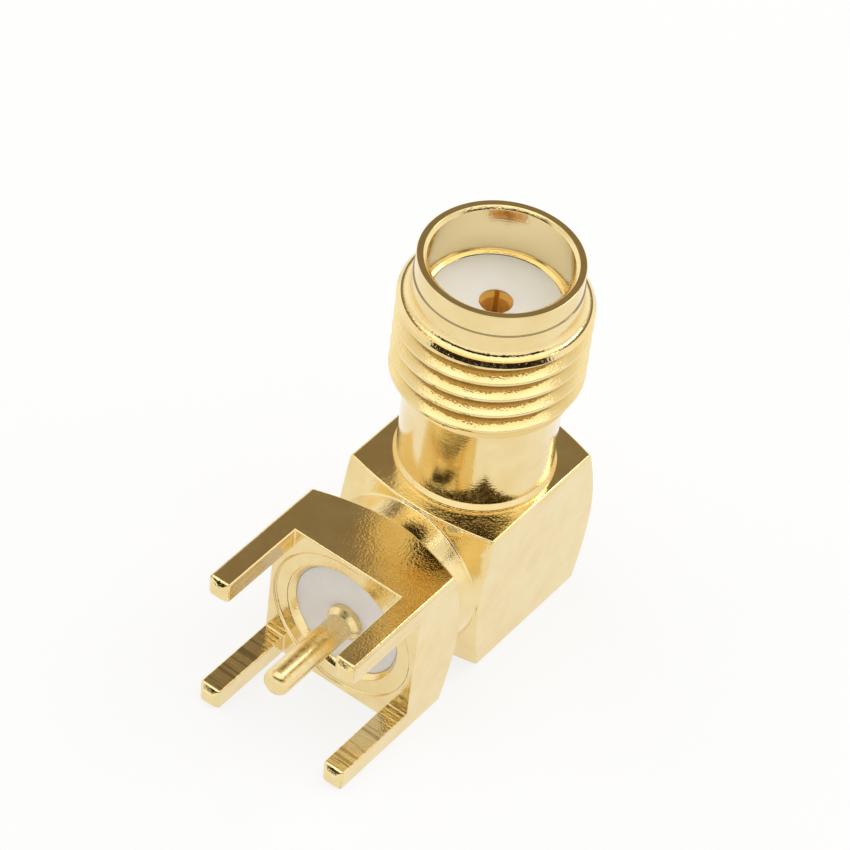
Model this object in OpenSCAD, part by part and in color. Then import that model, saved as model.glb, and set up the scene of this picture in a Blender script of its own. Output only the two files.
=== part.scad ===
// Right-angle coaxial jack for a circuit board: a threaded barrel stands on one
// end of a square bar, and the bar's other end is cut into four solder legs.
// Frame: the barrel's axis is Z, the legs point along -Y, and the bar lies on z = 0.

/* [Bar] */
// Width across the flats of the square bar
bar_w = 5.9; // [5.6:0.1:6.4]
// Radius of the bar's long edges
edge_r = 0.12; // [0.05:0.01:0.2]
// Barrel axis to the block's flat end, opposite the legs
block_back = 3.2; // [3.1:0.05:3.6]
// Barrel axis to the block's end at the turned groove
block_front = 3.3; // [3.2:0.05:3.6]
// Diameter of the flat left on the block's turned end
end_flat_d = 5.2; // [4.8:0.1:5.4]
// Angle of the turned chamfer on the block's end, from the end face
end_chamfer_deg = 25; // [15:1:35]

/* [Turned groove] */
// Diameter of the groove's floor
groove_d = 5.7; // [5.3:0.05:5.75]
// Length of the groove's floor
groove_len = 0.9; // [0.6:0.05:1.2]
// Slope of the groove's flank on the block, from a square shoulder
block_flank_deg = 20; // [10:1:30]
// Slope of the groove's flank on the flange, from a square shoulder
flange_flank_deg = 28; // [15:1:35]

/* [Flange and legs] */
// Barrel axis to the flange face that sits on the board
seat_dist = 6.7; // [6.4:0.05:7.2]
// Length of a leg below the seat
leg_len = 3.5; // [2.5:0.1:4.5]
// Side of a square leg
leg_w = 0.8; // [0.7:0.05:0.95]
// Chamfer on the leg tips
leg_tip = 0.2; // [0.1:0.05:0.3]
// Diameter of the shallow relief turned in the seat
relief_d = 5.5; // [5.2:0.05:5.6]
// Depth of that relief
relief_depth = 0.08; // [0.04:0.01:0.15]

/* [Barrel] */
// Major diameter of the coupling thread, 1/4-36
thread_d = 6.35; // [6.2:0.01:6.4]
// Height of the thread's lower end above the bar's underside
thread_low = 9.42; // [9:0.05:9.6]
// Height of the thread's upper end
thread_top = 12.95; // [12.5:0.05:13]
// Depth of the thread
thread_depth = 0.43; // [0.38:0.01:0.44]
// Height of the rim
rim_z = 14.6; // [14.4:0.05:15.2]
// Outer diameter of the rim
rim_d = 5.4; // [5.3:0.01:5.5]
// Diameter of the lip below its turned line
lip_d = 5.5; // [5.45:0.01:5.6]
// Height of the turned line on the lip
lip_line_z = 13.82; // [13.5:0.02:14]
// Diameter of the plain neck between block and thread
neck_d = 5.2; // [5:0.05:5.4]
// Diameter of the collar at the foot of the neck
collar_d = 5.4; // [5.3:0.05:5.6]
// Height of that collar
collar_h = 0.3; // [0.2:0.05:0.5]
// Diameter of the spigot pressed into the block
spigot_d = 4.8; // [4.6:0.05:5]
// Depth of the spigot in the block
spigot_depth = 1.2; // [1:0.05:1.4]

/* [Coaxial line] */
// Diameter of the bore that takes the mating plug
plug_bore_d = 4.7; // [4.6:0.01:4.8]
// Chamfer at the mouth of that bore
mouth_chamfer = 0.1; // [0.05:0.01:0.12]
// Depth of the insulator's face below the rim
insulator_depth = 1.85; // [1.8:0.05:2]
// Diameter of the barrel's insulator
front_insulator_d = 4.2; // [4.1:0.05:4.3]
// Diameter of the flange's insulator
rear_insulator_d = 4.1; // [4:0.05:4.2]
// Depth of the rear insulator's face below the seat
rear_insulator_depth = 0.3; // [0.2:0.05:0.4]
// Diameter of the countersink round that insulator, in the seat
countersink_d = 4.6; // [4.4:0.05:4.8]
// Outer diameter of the socket contact
contact_d = 1.27; // [1.2:0.01:1.35]
// Bore of the socket contact
socket_d = 0.94; // [0.92:0.01:0.96]
// Depth of that bore
socket_depth = 3; // [2.5:0.1:4]
// Width of a slot between the contact's fingers
slot_w = 0.15; // [0.1:0.01:0.16]
// Length of those slots
slot_len = 2.2; // [1.5:0.1:2.4]
// Diameter of the tail pin in the rear insulator
pin_body_d = 1.27; // [1.2:0.01:1.35]
// Diameter of its thinner tail
pin_d = 0.95; // [0.8:0.05:1]
// Length of the tail pin below the seat
pin_len = 3.55; // [2.5:0.05:4.5]
// Diameter of the tail pin's inner spigot
pin_spigot_d = 0.6; // [0.5:0.05:0.7]

/* [Hidden] */
$fn = 96;
axis_z = bar_w / 2;                       // height of the bar's axis
cut = 1;                                  // how far a cutter runs past a face
sweep_r = bar_w;                          // radius beyond the bar's corners
tip_dist = seat_dist + leg_len;           // barrel axis to the leg tips
slot_half = bar_w / 2 - leg_w;            // half the gap between two legs
groove_r = groove_d / 2;
groove_end = block_front + groove_len;    // barrel axis to the flange's end of the groove

cap_d = 4.4;                              // access cap in the block's end
cap_t = 0.55;
cap_edge = 0.1;
cavity_d = 3.7;                           // bore behind the rear insulator, open to the cap
throat_d = 3.4;                           // opening from the spigot's seat down to that bore
tail_bore_end = 2.6;                      // barrel axis to the shoulder of the tail bore
insulator_face = seat_dist - rear_insulator_depth;

spigot_z = bar_w - spigot_depth;          // underside of the barrel
shoulder_z = rim_z - insulator_depth;     // insulator face and the bore's shoulder
thread_chamfer = 0.23;                    // chamfer at the thread's upper end
thread_foot = 0.33;                       // chamfer at the thread's lower end
thread_pitch = 25.4 / 36;                 // 36 turns to the inch
flank_deg = 30;                           // slope of a thread flank, from a square shoulder
root_count = 5;                           // roots along the thread
root_from_top = 0.24;                     // thread's upper end to the middle of its first root
lip_flare_h = 0.17;                       // flare between lip and thread
lip_flare_d = 5.8;
edge = 0.05;                              // small turned edge break

contact_top = shoulder_z - 0.08;          // the contact stands just below the insulator
contact_foot = 0.65;                      // contact's end below the bar's axis
contact_entry = 0.1;                      // funnel at the socket's mouth
slot_count = 4;
slot_turn = 32;                           // turn of the slots about the barrel
pin_step = seat_dist - 0.1;               // barrel axis to the end of the pin's thick part
pin_round = 0.3;                          // rounding of the tail pin's tip
pin_spigot_len = 1.2;

// ---- helpers ----

// Puts a shape made along +Z onto the bar's axis, pointing along -Y towards the legs
module along_bar() {
    translate([0, 0, axis_z])
        rotate([90, 0, 0])
            children();
}

// Straight bore or rod on the bar's axis, from one distance to another towards the legs
module bar_cylinder(d, from, to) {
    along_bar()
        translate([0, 0, from])
            cylinder(d = d, h = to - from);
}

// Square with round corners, centred on the origin
module rounded_square(w, r) {
    inner = w - 2 * r;
    square([w, inner], center = true);
    square([inner, w], center = true);
    for (x = [-1, 1], y = [-1, 1])
        translate([x * inner / 2, y * inner / 2])
            circle(r = r);
}

// ---- body ----

// The square stock, as long as the finished part
module bar_stock() {
    along_bar()
        translate([0, 0, -block_back])
            linear_extrude(block_back + tip_dist)
                rounded_square(bar_w, edge_r);
}

// What the lathe leaves: an end chamfer, the groove with its sloped flanks, and the flange
module turned_form() {
    end_r = end_flat_d / 2;
    end_rise = (sweep_r - end_r) * tan(end_chamfer_deg);
    block_rise = (sweep_r - groove_r) * tan(block_flank_deg);
    flange_rise = (sweep_r - groove_r) * tan(flange_flank_deg);
    along_bar()
        rotate_extrude()
            polygon([
                [0, -block_back],
                [end_r, -block_back],
                [sweep_r, -block_back + end_rise],
                [sweep_r, block_front - block_rise],
                [groove_r, block_front],
                [groove_r, groove_end],
                [sweep_r, groove_end + flange_rise],
                [sweep_r, tip_dist],
                [0, tip_dist]
            ]);
}

// Right half of the milled bar's outline: the block, then one prong with a chamfered tip
function half_fork() =
    let (outer = bar_w / 2)
    [
        [outer, -block_back],
        [outer, tip_dist - leg_tip],
        [outer - leg_tip, tip_dist],
        [slot_half + leg_tip, tip_dist],
        [slot_half, tip_dist - leg_tip],
        [slot_half, seat_dist]
    ];

// The fork outline through the full width of the bar; two of them crossed leave four legs
module fork(turn) {
    right = half_fork();
    left = [for (i = [len(right) - 1 : -1 : 0]) [-right[i][0], right[i][1]]];
    along_bar()
        rotate([90, 0, turn])
            linear_extrude(bar_w + 2 * cut, center = true)
                polygon(concat(right, left));
}

// Bores along the bar: relief, countersink, insulator bore, cavity and the cap's seat
module bar_bores() {
    bar_cylinder(relief_d, seat_dist - relief_depth, seat_dist + cut);
    along_bar()
        translate([0, 0, insulator_face])
            cylinder(d1 = rear_insulator_d, d2 = countersink_d, h = rear_insulator_depth);
    bar_cylinder(rear_insulator_d, tail_bore_end, insulator_face + cut / 2);
    bar_cylinder(cavity_d, -block_back, tail_bore_end + cut);
    bar_cylinder(cap_d, -block_back - cut, -block_back + cap_t);
}

// Stepped bore: the seat of the barrel's spigot, and the throat that opens into the cavity
module barrel_bore() {
    translate([0, 0, spigot_z]) cylinder(d = spigot_d, h = spigot_depth + cut);
    translate([0, 0, axis_z]) cylinder(d = throat_d, h = spigot_z - axis_z + cut);
}

module body() {
    color("gold")
        difference() {
            intersection() {
                bar_stock();
                turned_form();
                fork(0);
                fork(90);
            }
            bar_bores();
            barrel_bore();
        }
}

// ---- barrel ----

// Outline of the barrel's wall, from the spigot up to the rim and down the bore
module barrel_profile() {
    bore_r = plug_bore_d / 2;
    line_r = front_insulator_d / 2;
    foot_r = thread_d / 2 - thread_foot;
    top_r = thread_d / 2 - thread_chamfer;
    polygon([
        [line_r, spigot_z],
        [spigot_d / 2 - edge, spigot_z],
        [spigot_d / 2, spigot_z + edge],
        [spigot_d / 2, bar_w],
        [collar_d / 2, bar_w],
        [collar_d / 2, bar_w + collar_h - edge],
        [neck_d / 2, bar_w + collar_h + edge],
        [neck_d / 2, thread_low],
        [foot_r, thread_low],
        [thread_d / 2, thread_low + thread_foot],
        [thread_d / 2, thread_top - thread_chamfer],
        [top_r, thread_top],
        [lip_flare_d / 2, thread_top],
        [lip_d / 2, thread_top + lip_flare_h],
        [lip_d / 2, lip_line_z],
        [rim_d / 2, lip_line_z],
        [rim_d / 2, rim_z - edge],
        [rim_d / 2 - edge, rim_z],
        [bore_r + mouth_chamfer, rim_z],
        [bore_r, rim_z - mouth_chamfer],
        [bore_r, shoulder_z],
        [line_r, shoulder_z]
    ]);
}

// Section of one root of the thread: a narrow floor between flanks that run past the crests
module root_section() {
    floor_r = thread_d / 2 - thread_depth;
    crest_half = thread_pitch / 16;
    past_r = thread_d / 2 + crest_half;
    mouth = thread_pitch / 2 - crest_half + crest_half * tan(flank_deg);
    floor_half = mouth - (past_r - floor_r) * tan(flank_deg);
    polygon([
        [floor_r, -floor_half],
        [past_r, -mouth],
        [past_r, mouth],
        [floor_r, floor_half]
    ]);
}

// The barrel; the roots of its thread are turned as plain rings, one pitch apart
module barrel() {
    color("gold")
        rotate_extrude()
            difference() {
                barrel_profile();
                for (i = [0 : root_count - 1])
                    translate([0, thread_top - root_from_top - i * thread_pitch])
                        root_section();
            }
}

// ---- insulators ----

module front_insulator() {
    color("whitesmoke")
        difference() {
            translate([0, 0, spigot_z])
                cylinder(d = front_insulator_d, h = shoulder_z - spigot_z);
            translate([0, 0, spigot_z - cut])
                cylinder(d = contact_d, h = shoulder_z - spigot_z + 2 * cut);
        }
}

module rear_insulator() {
    color("whitesmoke")
        difference() {
            bar_cylinder(rear_insulator_d, tail_bore_end, insulator_face);
            bar_cylinder(pin_body_d, tail_bore_end - cut, insulator_face + cut);
        }
}

// ---- inner line ----

// Slots that part the socket's fingers, all through the axis
module finger_slots() {
    for (i = [0 : slot_count / 2 - 1])
        rotate([0, 0, slot_turn + i * 360 / slot_count])
            translate([-contact_d, -slot_w / 2, contact_top - slot_len])
                cube([2 * contact_d, slot_w, slot_len + cut]);
}

// Turned contact: socket with a funnel mouth above, plain foot below
module contact_profile() {
    r = contact_d / 2;
    bore = socket_d / 2;
    low = axis_z - contact_foot;
    polygon([
        [0, low],
        [r - edge, low],
        [r, low + edge],
        [r, contact_top - edge],
        [r - edge, contact_top],
        [bore + contact_entry, contact_top],
        [bore, contact_top - 2 * contact_entry],
        [bore, contact_top - socket_depth],
        [0, contact_top - socket_depth - bore / 2]
    ]);
}

module contact() {
    color("darkgoldenrod")
        difference() {
            rotate_extrude() contact_profile();
            finger_slots();
            bar_cylinder(pin_spigot_d, -contact_d, contact_d);
        }
}

// Outline of the tail pin: a thin end plugged into the contact's foot, the part held
// by the insulator, a sloped step, and the tail with the rim of its tip rounded
module pin_outline() {
    thin = pin_spigot_d / 2;
    thick = pin_body_d / 2;
    r = pin_d / 2;
    shoulder = contact_d / 2;
    tip = seat_dist + pin_len;
    polygon([
        [0, shoulder - pin_spigot_len],
        [thin, shoulder - pin_spigot_len],
        [thin, shoulder],
        [thick, shoulder],
        [thick, pin_step],
        [r, pin_step + thick - r],
        [r, tip - pin_round],
        [r - pin_round, tip],
        [0, tip]
    ]);
    intersection() {
        translate([r - pin_round, tip - pin_round]) circle(r = pin_round);
        translate([0, tip - pin_round]) square([r, pin_round]);
    }
}

module tail_pin() {
    color("darkgoldenrod")
        along_bar()
            rotate_extrude()
                pin_outline();
}

// Disc pressed into the block's end over the solder opening
module access_cap() {
    r = cap_d / 2;
    color("gold")
        along_bar()
            translate([0, 0, -block_back])
                rotate_extrude()
                    polygon([
                        [0, cap_t],
                        [r, cap_t],
                        [r, cap_edge],
                        [r - cap_edge, 0],
                        [0, 0]
                    ]);
}

body();
barrel();
front_insulator();
rear_insulator();
contact();
tail_pin();
access_cap();
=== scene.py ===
import math

import bmesh
import bpy
import numpy as np
from mathutils import Matrix, Vector


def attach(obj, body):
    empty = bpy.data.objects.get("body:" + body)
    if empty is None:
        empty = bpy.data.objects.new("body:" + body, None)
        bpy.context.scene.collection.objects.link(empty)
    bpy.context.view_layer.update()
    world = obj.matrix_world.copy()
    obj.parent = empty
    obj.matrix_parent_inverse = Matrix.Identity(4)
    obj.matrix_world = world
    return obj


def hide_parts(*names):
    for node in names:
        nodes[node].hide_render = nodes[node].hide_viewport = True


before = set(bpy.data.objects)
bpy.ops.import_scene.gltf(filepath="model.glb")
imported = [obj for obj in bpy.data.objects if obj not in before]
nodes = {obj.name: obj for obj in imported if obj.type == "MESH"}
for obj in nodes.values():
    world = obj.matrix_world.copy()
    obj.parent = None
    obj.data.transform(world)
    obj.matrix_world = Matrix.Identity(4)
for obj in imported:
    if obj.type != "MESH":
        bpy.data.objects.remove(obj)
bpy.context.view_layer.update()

MM = 0.001

# ---- sizes of the barrel's visible form, in mm ----
BLOCK_TOP = 5.9
SEAT_OVERLAP = 0.02            # the collar starts this far inside the block
SPIGOT_Z = 4.7
SPIGOT_R = 2.4
COLLAR_R = 2.7
COLLAR_TOP = 6.2
COLLAR_SLOPE = (0.24, 0.06)    # the collar's sloped edge, from and to this far below its top
NECK_R = 2.6
THREAD_R = 3.175
THREAD_PITCH = 25.4 / 36
THREAD_DEPTH = 0.43
THREAD_LOW = 9.42
THREAD_TOP = 13.0
FOOT_CHAMFER = 0.33
TOP_CHAMFER = 0.125
CHAMFER_Z = THREAD_TOP - TOP_CHAMFER
RUN_OUT = 0.22                 # height over which the groove runs out
LIP_FILLET = 0.3               # concave fillet from the thread's end to the lip
LIP_R = 2.75
LIP_LINE_Z = 13.82
LIP_LINE_HEIGHT = 0.02
RIM_R = 2.7
RIM_Z = 14.6
RIM_CHAMFER = (0.12, 0.1)      # width and height of the bore's mouth
PLUG_BORE_R = 2.35
SHOULDER_Z = 12.75
SHOULDER_CHAMFER = 0.1
LINE_R = 2.1
ROOT_Z = 12.475                # height of a thread root on the side ROOT_TURN
ROOT_TURN = math.radians(-57.6)
COLUMNS = 288

THREAD_ROUNDING = 0.09
NECK_ROUNDING = 0.08
LIP_ROUNDING = 0.03


# ---- sizes of the front insulator, in mm ----
CONTACT_R = 0.635
FACE_CHAMFER = 0.09
MOUTH_DEPTH = (0.06, 0.07)     # the mouth's lip ends at these depths, inside and outside
FACE_ROUNDING = 0.04


# ---- rounding and shading of edges: mm and degrees ----
EDGE_ROUNDING = 0.06
ROUNDING_STEPS = 4
FLAT_WITHIN = 0.5              # the body's faces that are this level are joined
ROUNDED_FROM = 38              # the body's edges are rounded from this angle
BARREL_SHARP = 28
INSULATOR_SHARP = 50


# ---- the room: strengths and colours, 1 is white ----
FLOOR_COLOUR = (0.9, 0.9, 0.9)
FLOOR_SIZE = 2.0               # in metres
FLOOR_GLOW = 0.75
FLOOR_STRENGTH = 1.03
HORIZON = (1.1, 1.1, 1.08)
CEILING = (0.92, 0.9, 0.84)
ZENITH = (1.42, 1.41, 1.36)
SKY = [(0.45, HORIZON), (0.62, CEILING), (0.74, CEILING), (0.78, ZENITH)]

# Dark places: angles in degrees to where each is fully dark and to where it ends, and its colour.
BEHIND = ((-0.378, 0.595, 0.709), 14, 30, (0.26, 0.21, 0.14))
VIEWER_DARK = (9, 14, (0.02, 0.015, 0.01))
VIEWER_TURN = -57.6            # azimuth of the viewer
BELT_SIDES = range(-56, 57, 16)
BELT_RISE = 45
BELT_BOW = 0.0023

LAMP_DISTANCE = 250
KEY_FROM = (0.2, 0.6, 0.76)
KEY_SIZE = 60
KEY_RADIANCE = 4
KEY_COLOUR = (0.96, 0.98, 1.0)


# ---- the camera: degrees and mm ----
CAMERA_AZIMUTH = 32.398
CAMERA_ELEVATION = 45.154
CAMERA_ROLL = 7.375
CAMERA_TARGET = (-2.432, 0.615, 5.0)
CAMERA_DISTANCE = 149.433
LENS = 191.39
SENSOR = 36


# ---- places in the materials: heights and radii in mm ----
MILLED_Y = (-10.5, -6.72)
MILLED_Z = (0.5, 5.4)
WORN_Y = (-10.5, -1.6)
WORN_Z = (5.6, 6.3)
NECK_FOOT_Z = 7.0
NECK_FADE = 0.08
ROOT_FADE_R = (2.95, 2.83)
FLANK_FADE_R = (3.08, 2.98)
EDGE_DARK_R = (3.08, 3.2)
OUTSIDE_R = (2.45, 2.5)
BORE_R = (2.2, 2.42)
LIP_LINE_R = (2.6, 2.8)


# ---- tones and finishes, and painted light and shade ----
LIGHT_GOLD = (0.88, 0.71, 0.36)
DEEP_GOLD = (0.84, 0.64, 0.29)
CONTACT_LIGHT = (1.0, 0.68, 0.2)
CONTACT_DEEP = (1.0, 0.62, 0.15)
CONTACT_METALLIC = 0.15
# painted shade: dark brown in the thread's roots and under its ridges
ROOT_PAINTED_SHADE = (0.36, 0.23, 0.07)
# painted shade: deeper gold inside the thread's grooves
FLANK_PAINTED_SHADE = (0.8, 0.57, 0.2)
# painted light: paler tone on the bore's wall
BORE_PAINTED_LIGHT = (1.0, 0.86, 0.52)
LINE_TONE = (0.3, 0.22, 0.1)
STREAK_TONE = (0.3, 0.2, 0.08)
# painted light: the orange the contact throws on the hole's wall
HOLE_PAINTED_LIGHT = (1.0, 0.6, 0.15)
FACE_WHITE = (0.95, 0.93, 0.9)
FACE_SHADE = (0.93, 0.9, 0.87)
# painted shade: the rear insulator's whites are a darker copy of the front's
REAR_WHITE_PAINTED_SHADE = (0.85, 0.82, 0.8)
REAR_SHADE = (0.81, 0.78, 0.76)
STREAK_SCALE = (0.4, 7.0, 0.4)
MILL_LINES = (0.5, 9, 0.5)
TURNING_LINES = (0.6, 0.6, 14)
SPECKLE_SCALE = 11.0


# ---- mesh helpers ----

def mesh_object(name, verts_mm, faces):
    """A smooth-shaded mesh object from points in mm."""
    mesh = bpy.data.meshes.new(name)
    mesh.from_pydata([Vector(v) * MM for v in verts_mm], [], faces)
    bm = bmesh.new()
    bm.from_mesh(mesh)
    bmesh.ops.remove_doubles(bm, verts=bm.verts, dist=2e-7)
    bmesh.ops.recalc_face_normals(bm, faces=bm.faces)
    bm.to_mesh(mesh)
    bm.free()
    mesh.shade_smooth()
    obj = bpy.data.objects.new(name, mesh)
    bpy.context.scene.collection.objects.link(obj)
    return obj


def turned_mesh(name, line):
    """A surface of revolution about Z from (radius, z) points."""
    verts = []
    faces = []
    rows = len(line)
    for c in range(COLUMNS):
        turn = 2 * math.pi * c / COLUMNS
        verts += [(r * math.cos(turn), r * math.sin(turn), z) for r, z in line]
        for i in range(rows - 1):
            a = c * rows + i
            b = (c + 1) % COLUMNS * rows + i
            faces.append((a, b, b + 1, a + 1))
    return mesh_object(name, verts, faces)


def rounded(points, radius, steps=ROUNDING_STEPS):
    """The same open polyline with an arc at each inner corner."""
    out = [np.array(points[0], float)]
    for before, at, after in zip(points, points[1:], points[2:]):
        before, at, after = (np.array(p, float) for p in (before, at, after))
        a = before - at
        b = after - at
        room = 0.45 * min(np.linalg.norm(a), np.linalg.norm(b))
        a = a / np.linalg.norm(a)
        b = b / np.linalg.norm(b)
        half = 0.5 * math.acos(max(-1.0, min(1.0, float(a @ b))))
        if half > 1.5:
            out.append(at)
            continue
        reach = min(radius / math.tan(half), room)
        r = reach * math.tan(half)
        middle = at + (a + b) / np.linalg.norm(a + b) * r / math.sin(half)
        start = at + a * reach - middle
        end = at + b * reach - middle
        for i in range(steps + 1):
            mix = start * (1 - i / steps) + end * (i / steps)
            out.append(middle + mix / np.linalg.norm(mix) * r)
    out.append(np.array(points[-1], float))
    return out


# ---- barrel ----

def thread_profile():
    """One pitch of the thread, from crest to crest: (height from the root, radius)."""
    half = THREAD_PITCH / 2
    crest = THREAD_PITCH / 16
    root = half - crest - THREAD_DEPTH * math.tan(math.radians(30))
    low = THREAD_R - THREAD_DEPTH
    return rounded([
        (-half, THREAD_R),
        (-half + crest, THREAD_R),
        (-root, low),
        (root, low),
        (half - crest, THREAD_R),
        (half, THREAD_R),
    ], THREAD_ROUNDING)


def thread_radius(profile, height, turn):
    """Radius of the thread's helix at a height and an angle about the barrel."""
    phase = (height - ROOT_Z) / THREAD_PITCH - (turn - ROOT_TURN) / (2 * math.pi)
    offset = (phase - round(phase)) * THREAD_PITCH
    return float(np.interp(offset, [p[0] for p in profile], [p[1] for p in profile]))


def groove_share(z):
    """Share of the full groove depth at a height: it runs out below the upper chamfer."""
    return max(0.0, min(1.0, (CHAMFER_Z - z) / RUN_OUT))


def ridge_radius(profile, z, turn):
    """Radius of the ridges, with the run-out at the top and the chamfer at the foot."""
    groove = THREAD_R - thread_radius(profile, z, turn)
    foot = THREAD_R - FOOT_CHAMFER + (z - THREAD_LOW)
    return min(THREAD_R - groove * groove_share(z), foot)


def thread_column(profile, turn):
    """The thread's section at one angle, from its lower end to its upper end: (radius, z)."""
    first = int((THREAD_LOW - ROOT_Z) / THREAD_PITCH) - 2
    last = int((THREAD_TOP - ROOT_Z) / THREAD_PITCH) + 2
    column = []
    for k in range(first, last + 1):
        for height, _ in profile[:-1]:
            z = ROOT_Z + THREAD_PITCH * (k + (turn - ROOT_TURN) / (2 * math.pi)) + height
            z = min(max(z, THREAD_LOW), CHAMFER_Z)
            column.append((ridge_radius(profile, z, turn), z))
    return column


def lip_foot():
    """Concave quarter arc from the upper chamfer to the lip: (radius, z)."""
    middle_r = LIP_R + LIP_FILLET
    middle_z = THREAD_TOP + LIP_FILLET
    turns = [math.radians(a) for a in range(90, 0, -10)]
    return [(middle_r - LIP_FILLET * math.cos(a), middle_z - LIP_FILLET * math.sin(a)) for a in turns]


def barrel_mesh():
    """The turned barrel, with the thread cut as a helix."""
    profile = thread_profile()
    below = rounded([
        (LINE_R, SPIGOT_Z),
        (SPIGOT_R, SPIGOT_Z),
        (SPIGOT_R, BLOCK_TOP - SEAT_OVERLAP),
        (COLLAR_R, BLOCK_TOP - SEAT_OVERLAP),
        (COLLAR_R, COLLAR_TOP - COLLAR_SLOPE[0]),
        (NECK_R, COLLAR_TOP - COLLAR_SLOPE[1]),
        (NECK_R, THREAD_LOW),
        (THREAD_R - FOOT_CHAMFER, THREAD_LOW),
    ], NECK_ROUNDING)[:-1]
    lip = rounded([
        (LIP_R, THREAD_TOP + LIP_FILLET),
        (LIP_R, LIP_LINE_Z),
        (RIM_R, LIP_LINE_Z + LIP_LINE_HEIGHT),
        (RIM_R, RIM_Z),
        (PLUG_BORE_R + RIM_CHAMFER[0], RIM_Z),
        (PLUG_BORE_R, RIM_Z - RIM_CHAMFER[1]),
        (PLUG_BORE_R, SHOULDER_Z),
        (LINE_R + SHOULDER_CHAMFER, SHOULDER_Z),
        (LINE_R, SHOULDER_Z - SHOULDER_CHAMFER),
        (LINE_R, SPIGOT_Z),
    ], LIP_ROUNDING)
    verts = []
    for c in range(COLUMNS + 1):
        turn = 2 * math.pi * c / COLUMNS
        middle = thread_column(profile, turn)
        for r, z in [*below, *middle, *lip_foot(), *lip]:
            verts.append((r * math.cos(turn), r * math.sin(turn), z))
    rows = len(verts) // (COLUMNS + 1)
    faces = []
    for c in range(COLUMNS):
        for i in range(rows - 1):
            a = c * rows + i
            faces.append((a, a + rows, a + rows + 1, a + 1))
    return mesh_object("barrel_turned", verts, faces)


# ---- body ----

def body_mesh(source):
    """A copy of the solid body with rounded edges."""
    points = [source.matrix_world @ v.co / MM for v in source.data.vertices]
    obj = mesh_object("body_softened", points, [tuple(p.vertices) for p in source.data.polygons])
    bm = bmesh.new()
    bm.from_mesh(obj.data)
    flat = math.radians(FLAT_WITHIN)
    bmesh.ops.dissolve_limit(bm, angle_limit=flat, verts=bm.verts, edges=bm.edges)
    bm.to_mesh(obj.data)
    bm.free()
    soft = obj.modifiers.new("edges", "BEVEL")
    soft.width = EDGE_ROUNDING * MM
    soft.segments = ROUNDING_STEPS
    soft.limit_method = "ANGLE"
    soft.angle_limit = math.radians(ROUNDED_FROM)
    soft.use_clamp_overlap = False
    return obj


# ---- insulator ----

def insulator_mesh():
    """The front insulator, with soft edges and a mouth that hides the contact's rim."""
    line = rounded([
        (CONTACT_R, SPIGOT_Z),
        (LINE_R, SPIGOT_Z),
        (LINE_R, SHOULDER_Z - FACE_CHAMFER),
        (LINE_R + FACE_CHAMFER, SHOULDER_Z),
        (CONTACT_R - FACE_CHAMFER, SHOULDER_Z),
        (CONTACT_R - FACE_CHAMFER, SHOULDER_Z - MOUTH_DEPTH[0]),
        (CONTACT_R, SHOULDER_Z - MOUTH_DEPTH[1]),
        (CONTACT_R, SPIGOT_Z),
    ], FACE_ROUNDING)
    return turned_mesh("insulator_face", line)


# ---- materials ----

def new_material(name):
    """A material with its node tree and its shader."""
    material = bpy.data.materials.new(name)
    material.use_nodes = True
    tree = material.node_tree
    shader = tree.nodes["Principled BSDF"]
    return material, tree, shader


def node(tree, kind, values=None, **settings):
    """A node with its settings and the values of its unlinked sockets."""
    n = tree.nodes.new(kind)
    for key, value in settings.items():
        setattr(n, key, value)
    for key, value in (values or {}).items():
        n.inputs[key].default_value = value
    return n


def coordinates(tree, scale=(1, 1, 1)):
    """Object coordinates in mm, stretched along the three axes."""
    source = node(tree, "ShaderNodeTexCoord")
    mapping = node(tree, "ShaderNodeMapping", {"Scale": [s / MM for s in scale]})
    tree.links.new(source.outputs["Object"], mapping.inputs["Vector"])
    return mapping.outputs["Vector"]


def noise(tree, vector, scale, detail=3.0):
    """Noise from 0 to 1."""
    n = node(tree, "ShaderNodeTexNoise", {"Scale": scale, "Detail": detail})
    tree.links.new(vector, n.inputs["Vector"])
    return n.outputs["Fac"]


def remap(tree, value, low, high, to_low=0.0, to_high=1.0):
    """A value from one range spread over another, and held at its ends."""
    n = node(tree, "ShaderNodeMapRange", {
        "From Min": low, "From Max": high, "To Min": to_low, "To Max": to_high})
    tree.links.new(value, n.inputs["Value"])
    return n.outputs["Result"]


def combine(tree, operation, first, second):
    """One value from two."""
    n = node(tree, "ShaderNodeMath", operation=operation)
    tree.links.new(first, n.inputs[0])
    tree.links.new(second, n.inputs[1])
    return n.outputs["Value"]


def multiply(tree, first, second):
    return combine(tree, "MULTIPLY", first, second)


def larger(tree, first, second):
    return combine(tree, "MAXIMUM", first, second)


def mix_colour(tree, factor, first, second):
    """The first colour, a fixed one or another node's, mixed towards a second fixed one."""
    n = node(tree, "ShaderNodeMix", {"B": (*second, 1)}, data_type="RGBA")
    if isinstance(first, tuple):
        n.inputs["A"].default_value = (*first, 1)
    else:
        tree.links.new(first, n.inputs["A"])
    tree.links.new(factor, n.inputs["Factor"])
    return n.outputs["Result"]


def bump(tree, height, distance, normal=None):
    """A normal raised by a height, on top of another normal if there is one."""
    n = node(tree, "ShaderNodeBump", {"Distance": distance, "Strength": 1.0})
    tree.links.new(height, n.inputs["Height"])
    if normal is not None:
        tree.links.new(normal, n.inputs["Normal"])
    return n.outputs["Normal"]


def along(tree, axis):
    """One object coordinate in mm."""
    split = node(tree, "ShaderNodeSeparateXYZ")
    tree.links.new(coordinates(tree), split.inputs["Vector"])
    return split.outputs[axis]


def radius(tree):
    """Distance from the barrel's axis in mm."""
    length = node(tree, "ShaderNodeVectorMath", operation="LENGTH")
    tree.links.new(coordinates(tree, (1, 1, 0)), length.inputs[0])
    return length.outputs["Value"]


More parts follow.
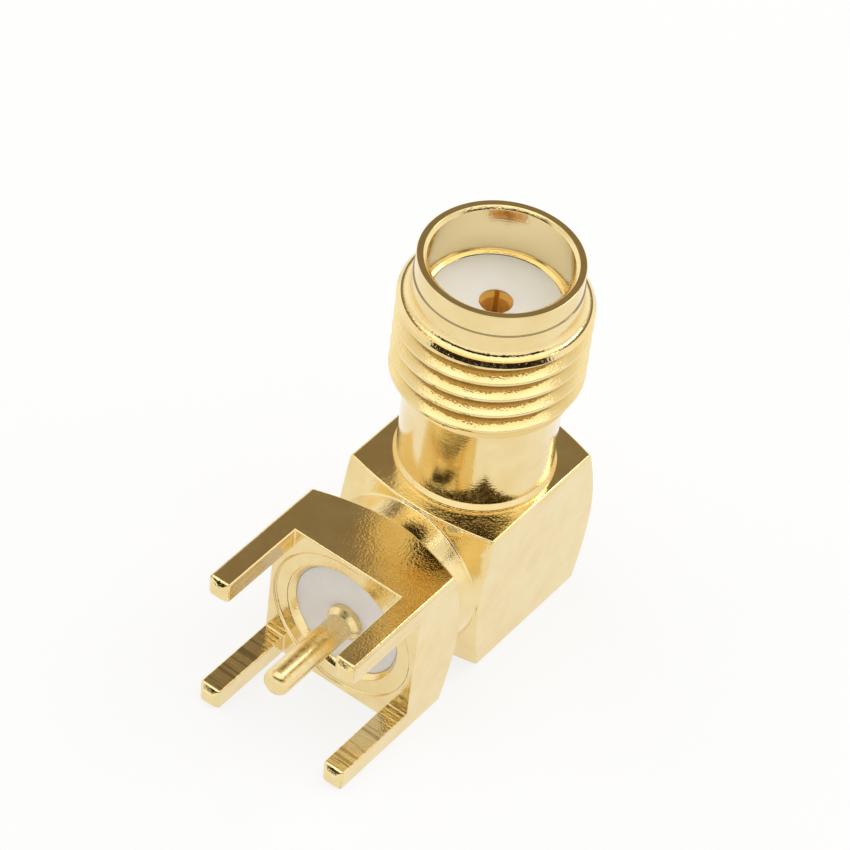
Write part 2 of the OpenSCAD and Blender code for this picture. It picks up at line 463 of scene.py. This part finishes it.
def between(tree, value, low, high, soft=0.03):
    """1 between two values and 0 outside them."""
    rise = remap(tree, value, low - soft, low + soft)
    fall = remap(tree, value, high - soft, high + soft, 1.0, 0.0)
    return multiply(tree, rise, fall)


def facing(tree, low, high):
    """0 to 1 as a surface's normal goes from one height to another."""
    split = node(tree, "ShaderNodeSeparateXYZ")
    tree.links.new(node(tree, "ShaderNodeNewGeometry").outputs["Normal"], split.inputs["Vector"])
    return remap(tree, split.outputs["Z"], low, high)


def off_neck(tree):
    """0 on the neck and 1 further out."""
    return remap(tree, radius(tree), NECK_R, NECK_R + NECK_FADE)


def milled_faces(tree):
    """1 on the legs' inner faces, where an end mill left its lines."""
    level = between(tree, along(tree, "Z"), *MILLED_Z)
    return multiply(tree, level, between(tree, along(tree, "Y"), *MILLED_Y))


def mill_streaks(tree):
    """Streaks across the lower legs' upper faces."""
    lines = noise(tree, coordinates(tree, STREAK_SCALE), 1.0, detail=2.0)
    upper = multiply(tree, milled_faces(tree), facing(tree, 0.7, 0.9))
    return multiply(tree, remap(tree, lines, 0.5, 0.6, 0.0, 0.6), upper)


def painted_thread_shade(tree):
    """Painted shade: 1 deep in the thread's grooves and along the ridges' lower, downward-facing
    edges.
    """
    level = between(tree, along(tree, "Z"), THREAD_LOW + 0.25, CHAMFER_Z)
    crests = between(tree, radius(tree), *EDGE_DARK_R, 0.015)
    edge = multiply(tree, facing(tree, -0.05, -0.3), crests)
    deep = multiply(tree, remap(tree, radius(tree), *ROOT_FADE_R), off_neck(tree))
    return multiply(tree, level, larger(tree, edge, deep))


def painted_flank_shade(tree):
    """Painted shade: the share of deeper gold inside the thread's grooves."""
    level = between(tree, along(tree, "Z"), THREAD_LOW, CHAMFER_Z)
    inside = remap(tree, radius(tree), *FLANK_FADE_R, 0.0, 0.7)
    return multiply(tree, level, multiply(tree, inside, off_neck(tree)))


def painted_bore_light(tree):
    """Painted light: a paler tone on the bore's wall."""
    level = between(tree, along(tree, "Z"), SHOULDER_Z + 0.05, RIM_Z - RIM_CHAMFER[1])
    return multiply(tree, level, between(tree, radius(tree), *BORE_R))


def lip_line(tree):
    """1 on the fine line round the lip."""
    level = between(tree, along(tree, "Z"), LIP_LINE_Z - 0.005, LIP_LINE_Z + 0.035, 0.01)
    return multiply(tree, level, between(tree, radius(tree), *LIP_LINE_R))


def worn_turning(tree):
    """1 where the turned piece is speckled: its thread, and the foot of its neck."""
    thread = between(tree, along(tree, "Z"), THREAD_LOW, THREAD_TOP + LIP_FILLET, 0.1)
    foot = between(tree, along(tree, "Z"), BLOCK_TOP - 0.1, NECK_FOOT_Z, 0.3)
    outside = remap(tree, radius(tree), *OUTSIDE_R)
    patches = remap(tree, noise(tree, coordinates(tree), 1.1), 0.4, 0.6, 0.25, 1.0)
    return multiply(tree, multiply(tree, outside, patches), larger(tree, thread, foot))


def worn_top(tree):
    """1 on the bar's upper faces from the block's front corner to the legs."""
    level = between(tree, along(tree, "Z"), *WORN_Z)
    return multiply(tree, level, between(tree, along(tree, "Y"), *WORN_Y, 0.3))


def tone(material, place, shade):
    """Another tone on one place of a material, where the place's mask is 1."""
    tree = material.node_tree
    base = tree.nodes["Principled BSDF"].inputs["Base Color"]
    before = base.links[0].from_socket
    tree.links.new(mix_colour(tree, place(tree), before, shade), base)


def speckle(material, place, depth):
    """Fine grain on one place of a plated surface."""
    tree = material.node_tree
    normal = tree.nodes["Principled BSDF"].inputs["Normal"]
    grain = noise(tree, coordinates(tree), SPECKLE_SCALE, detail=1.0)
    before = normal.links[0].from_socket
    tree.links.new(bump(tree, multiply(tree, grain, place(tree)), depth * MM, before), normal)


def gold(name, light, deep, roughness, peel, marks=None, marks_depth=0.0, place=None):
    """Plated metal: cloudy colour, orange peel at two scales, and tool marks where they show."""
    material, tree, shader = new_material(name)
    at = coordinates(tree)
    cloud = remap(tree, noise(tree, at, 0.9), 0.35, 0.65)
    tree.links.new(mix_colour(tree, cloud, light, deep), shader.inputs["Base Color"])
    rough = remap(tree, noise(tree, at, 5.0), 0.3, 0.7, roughness * 0.6, roughness * 1.5)
    tree.links.new(rough, shader.inputs["Roughness"])
    patches = remap(tree, noise(tree, at, 0.7), 0.4, 0.62, 0.35, 1.0)
    grain = multiply(tree, noise(tree, at, 17.0, detail=1.5), patches)
    normal = bump(tree, grain, peel * MM)
    normal = bump(tree, noise(tree, at, 2.5, detail=2.0), peel * MM, normal)
    if marks:
        lines = noise(tree, coordinates(tree, marks), 1.0, detail=2.0)
        if place:
            lines = multiply(tree, lines, place(tree))
        normal = bump(tree, lines, marks_depth * MM, normal)
    tree.links.new(normal, shader.inputs["Normal"])
    shader.inputs["Metallic"].default_value = 1.0
    shader.inputs["Coat Weight"].default_value = 0.5
    shader.inputs["Coat Roughness"].default_value = 0.08
    return material


def contact_hole_painted_light(tree):
    """Painted light: 1 on the wall of the contact's hole, which takes the orange light that the
    contact throws on it.
    """
    deep = between(tree, along(tree, "Z"), SPIGOT_Z, SHOULDER_Z - FACE_CHAMFER)
    return multiply(tree, deep, between(tree, radius(tree), 0.0, CONTACT_R + 0.05))


def fluoropolymer(name, colour, shade):
    """Smooth waxy white plastic with faint clouds and turning marks."""
    material, tree, shader = new_material(name)
    at = coordinates(tree)
    cloud = remap(tree, noise(tree, at, 1.5), 0.3, 0.7)
    tree.links.new(mix_colour(tree, cloud, colour, shade), shader.inputs["Base Color"])
    tree.links.new(bump(tree, noise(tree, at, 6.0), 0.002 * MM), shader.inputs["Normal"])
    shader.inputs["Roughness"].default_value = 0.42
    shader.inputs["IOR"].default_value = 1.38
    shader.inputs["Subsurface Weight"].default_value = 0.15
    shader.inputs["Subsurface Radius"].default_value = (0.0006, 0.0005, 0.0004)
    shader.inputs["Subsurface Scale"].default_value = 1.0
    return material


def dress(obj, material):
    """The material alone on an object."""
    obj.data.materials.clear()
    obj.data.materials.append(material)


def level_normals(obj):
    """Flat faces keep their own shading next to small rounded edges."""
    level = obj.modifiers.new("level", "WEIGHTED_NORMAL")
    level.keep_sharp = True


# ---- stage ----

def ground():
    """Pale floor: plain to the light, near white to the camera and in reflections."""
    bpy.ops.mesh.primitive_plane_add(size=FLOOR_SIZE, location=(0, 0, 0))
    floor = bpy.context.object
    floor.name = "floor"
    material, tree, shader = new_material("floor_white")
    shader.inputs["Base Color"].default_value = (*FLOOR_COLOUR, 1)
    shader.inputs["Roughness"].default_value = 0.8
    shader.inputs["Specular IOR Level"].default_value = 0.0
    rays = node(tree, "ShaderNodeLightPath").outputs
    seen = larger(tree, rays["Is Camera Ray"], rays["Is Glossy Ray"])
    seen = larger(tree, seen, rays["Is Transmission Ray"])
    share = remap(tree, seen, 0.0, 1.0, 0.0, FLOOR_GLOW)
    glow = node(tree, "ShaderNodeEmission", {"Color": (1, 1, 1, 1), "Strength": FLOOR_STRENGTH})
    both = node(tree, "ShaderNodeMixShader")
    tree.links.new(share, both.inputs[0])
    tree.links.new(shader.outputs["BSDF"], both.inputs[1])
    tree.links.new(glow.outputs["Emission"], both.inputs[2])
    tree.links.new(both.outputs["Shader"], tree.nodes["Material Output"].inputs["Surface"])
    dress(floor, material)


def toward(tree, direction, axis, inner, outer):
    """1 within an angle of inner degrees about an axis, falling to 0 at outer degrees."""
    dot = node(tree, "ShaderNodeVectorMath", {1: axis}, operation="DOT_PRODUCT")
    tree.links.new(direction, dot.inputs[0])
    edges = [math.cos(math.radians(a)) for a in (outer, inner)]
    return remap(tree, dot.outputs["Value"], *edges)


def dark_places():
    """Where the room is dark: behind the object, and in a bowed belt about the viewer."""
    places = [BEHIND]
    for side in BELT_SIDES:
        turn = math.radians(VIEWER_TURN + side)
        rise = math.radians(BELT_RISE - BELT_BOW * side ** 2)
        flat = math.cos(rise)
        axis = (flat * math.cos(turn), flat * math.sin(turn), math.sin(rise))
        places.append((axis, *VIEWER_DARK))
    return places


def surroundings():
    """A white room, brightest overhead, with dark places behind the object and about the viewer."""
    world = bpy.data.worlds.new("studio")
    bpy.context.scene.world = world
    world.use_nodes = True
    tree = world.node_tree
    tree.nodes.clear()
    out = node(tree, "ShaderNodeOutputWorld")
    background = node(tree, "ShaderNodeBackground")
    direction = node(tree, "ShaderNodeTexCoord").outputs["Generated"]
    split = node(tree, "ShaderNodeSeparateXYZ")
    tree.links.new(direction, split.inputs["Vector"])
    ramp = node(tree, "ShaderNodeValToRGB")
    stops = ramp.color_ramp
    stops.elements[0].position = 0.0
    stops.elements[0].color = (*HORIZON, 1)
    stops.elements[1].position = 1.0
    stops.elements[1].color = (*ZENITH, 1)
    for z, colour in SKY:
        stops.elements.new(z).color = (*colour, 1)
    tree.links.new(split.outputs["Z"], ramp.inputs["Fac"])
    colour = ramp.outputs["Color"]
    for axis, inner, outer, shade in dark_places():
        dark = toward(tree, direction, axis, inner, outer)
        colour = mix_colour(tree, dark, colour, shade)
    tree.links.new(colour, background.inputs["Color"])
    tree.links.new(background.outputs["Background"], out.inputs["Surface"])


def lamp(name, direction, size, radiance, colour):
    """A square softbox in a direction from the object, aimed at it."""
    data = bpy.data.lights.new(name, "AREA")
    data.size = size * MM
    data.energy = radiance * math.pi * data.size ** 2
    data.color = colour
    obj = bpy.data.objects.new(name, data)
    way = Vector(direction).normalized()
    obj.location = way * LAMP_DISTANCE * MM
    obj.rotation_euler = way.to_track_quat("Z", "Y").to_euler()
    bpy.context.scene.collection.objects.link(obj)


def camera():
    """The viewer: turned about the object, raised, and rolled about its own line of sight."""
    azimuth = math.radians(CAMERA_AZIMUTH)
    elevation = math.radians(CAMERA_ELEVATION)
    roll = math.radians(CAMERA_ROLL)
    target = Vector(CAMERA_TARGET) * MM
    back = Vector((
        math.sin(azimuth) * math.cos(elevation),
        -math.cos(azimuth) * math.cos(elevation),
        math.sin(elevation)))
    right = Vector((math.cos(azimuth), math.sin(azimuth), 0))
    up = back.cross(right)
    x = right * math.cos(roll) + up * math.sin(roll)
    y = up * math.cos(roll) - right * math.sin(roll)
    data = bpy.data.cameras.new("camera")
    data.sensor_width = SENSOR
    data.lens = LENS
    data.clip_start = 0.01
    obj = bpy.data.objects.new("camera", data)
    turn = Matrix((x, y, back)).transposed()
    place = Matrix.Translation(target + back * CAMERA_DISTANCE * MM)
    obj.matrix_world = place @ turn.to_4x4()
    bpy.context.scene.collection.objects.link(obj)
    bpy.context.scene.camera = obj


# ---- the object ----

barrel = barrel_mesh()
barrel.data.set_sharp_from_angle(angle=math.radians(BARREL_SHARP))
body = body_mesh(nodes["body"])
insulator = insulator_mesh()
insulator.data.set_sharp_from_angle(angle=math.radians(INSULATOR_SHARP))
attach(insulator, "root")
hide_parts("front_insulator")
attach(barrel, "root")
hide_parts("barrel")
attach(body, "root")
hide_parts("body")

plate = gold("gold_plate", LIGHT_GOLD, DEEP_GOLD, 0.12, 0.007, MILL_LINES, 0.01, milled_faces)
turned = gold("gold_turned", LIGHT_GOLD, DEEP_GOLD, 0.1, 0.004, TURNING_LINES, 0.002)
# painted shade: deeper gold in the thread's grooves
tone(turned, painted_flank_shade, FLANK_PAINTED_SHADE)
# painted shade in the thread's roots and along the ridges' lower edges
tone(turned, painted_thread_shade, ROOT_PAINTED_SHADE)
# painted light on the bore's wall
tone(turned, painted_bore_light, BORE_PAINTED_LIGHT)
tone(turned, lip_line, LINE_TONE)
tone(plate, mill_streaks, STREAK_TONE)
speckle(turned, worn_turning, 0.01)
speckle(plate, worn_top, 0.007)
contact_gold = gold("contact_gold", CONTACT_LIGHT, CONTACT_DEEP, 0.4, 0.003)
shader = contact_gold.node_tree.nodes["Principled BSDF"]
shader.inputs["Metallic"].default_value = CONTACT_METALLIC
pin_gold = gold("pin_gold", LIGHT_GOLD, DEEP_GOLD, 0.26, 0.004)
dress(body, plate)
dress(nodes["access_cap"], plate)
dress(barrel, turned)
dress(nodes["contact"], contact_gold)
dress(nodes["tail_pin"], pin_gold)
face_white = fluoropolymer("white_insulator", FACE_WHITE, FACE_SHADE)
# painted light on the contact hole's wall
tone(face_white, contact_hole_painted_light, HOLE_PAINTED_LIGHT)
dress(insulator, face_white)
# the rear insulator takes a darker copy of the same white: painted shade
dress(nodes["rear_insulator"], fluoropolymer("rear_white_painted_shade", REAR_WHITE_PAINTED_SHADE, REAR_SHADE))
level_normals(body)
level_normals(barrel)

ground()
surroundings()
lamp("key", KEY_FROM, KEY_SIZE, KEY_RADIANCE, KEY_COLOUR)
camera()
bpy.context.scene.view_settings.view_transform = "Standard"
